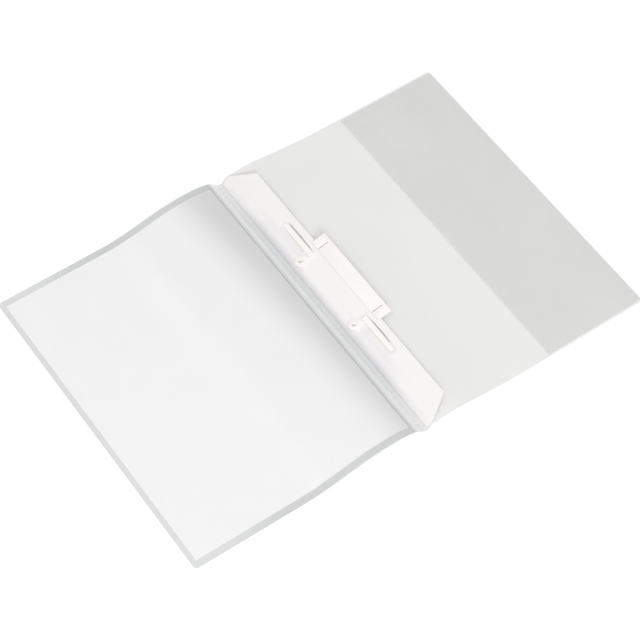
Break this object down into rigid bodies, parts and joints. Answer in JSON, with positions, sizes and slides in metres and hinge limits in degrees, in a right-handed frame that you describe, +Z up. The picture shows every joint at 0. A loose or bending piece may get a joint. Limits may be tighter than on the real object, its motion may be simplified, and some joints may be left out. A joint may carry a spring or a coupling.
{
  "type": "document folder",
  "caption": "Opened plastic document folder with a clear front cover, a folding spine, a back pocket and a binding strip with folding prongs and a compressor bar.",
  "frame": {"origin": "on the table under the middle of the opened folder", "axes": "+X across the covers from the front cover to the back cover, +Y along the spine, +Z up from the table"},
  "size_m": [0.4552, 0.31, 0.0163],
  "materials": {
    "front_film": "clear film, glossy",
    "title_paper": "plain white paper, matte",
    "back_film": "milky film, fine satin",
    "pocket_film": "frosted film, satin",
    "strip_plastic": "opaque white sheet plastic, satin",
    "fastener_plastic": "moulded cream-white plastic, satin"
  },
  "bodies": {
    "back_cover": {"back_cover_film": "back_film", "back_pocket_film": "pocket_film", "binding_strip": "strip_plastic", "prong_bracket_far": "fastener_plastic", "prong_pin_far": "fastener_plastic", "rivet_far": "fastener_plastic", "prong_bracket_near": "fastener_plastic", "prong_pin_near": "fastener_plastic", "rivet_near": "fastener_plastic"},
    "spine": {"spine_film": "front_film"},
    "front_cover": {"front_cover_film": "front_film", "title_sheet": "title_paper", "front_pocket_film": "front_film"},
    "prong_far": {"prong_far": "fastener_plastic"},
    "prong_near": {"prong_near": "fastener_plastic"},
    "compressor_bar": {"compressor_bar": "fastener_plastic"}
  },
  "joints": [
    {"name": "spine_fold", "type": "hinge", "parent": "back_cover", "child": "spine", "pos_m": [-0.00306, 0, 0.0005], "axis": [0, 1, 0], "range_deg": [0, 48.5]},
    {"name": "front_cover_fold", "type": "hinge", "parent": "spine", "child": "front_cover", "pos_m": [-0.01278, 0, 0.00922], "axis": [0, 1, 0], "range_deg": [0, 121]},
    {"name": "prong_far_fold", "type": "hinge", "parent": "back_cover", "child": "prong_far", "pos_m": [0.0176, 0.04, 0.011], "axis": [-0.9767, 0, -0.2147], "range_deg": [-90, 0]},
    {"name": "prong_near_fold", "type": "hinge", "parent": "back_cover", "child": "prong_near", "pos_m": [0.0176, -0.04, 0.011], "axis": [0.9767, 0, 0.2147], "range_deg": [-90, 0]},
    {"name": "compressor_bar_pull", "type": "slide", "parent": "back_cover", "child": "compressor_bar", "axis": [-0.9767, 0, -0.2147], "range_m": [-0.014, 0]}
  ]
}
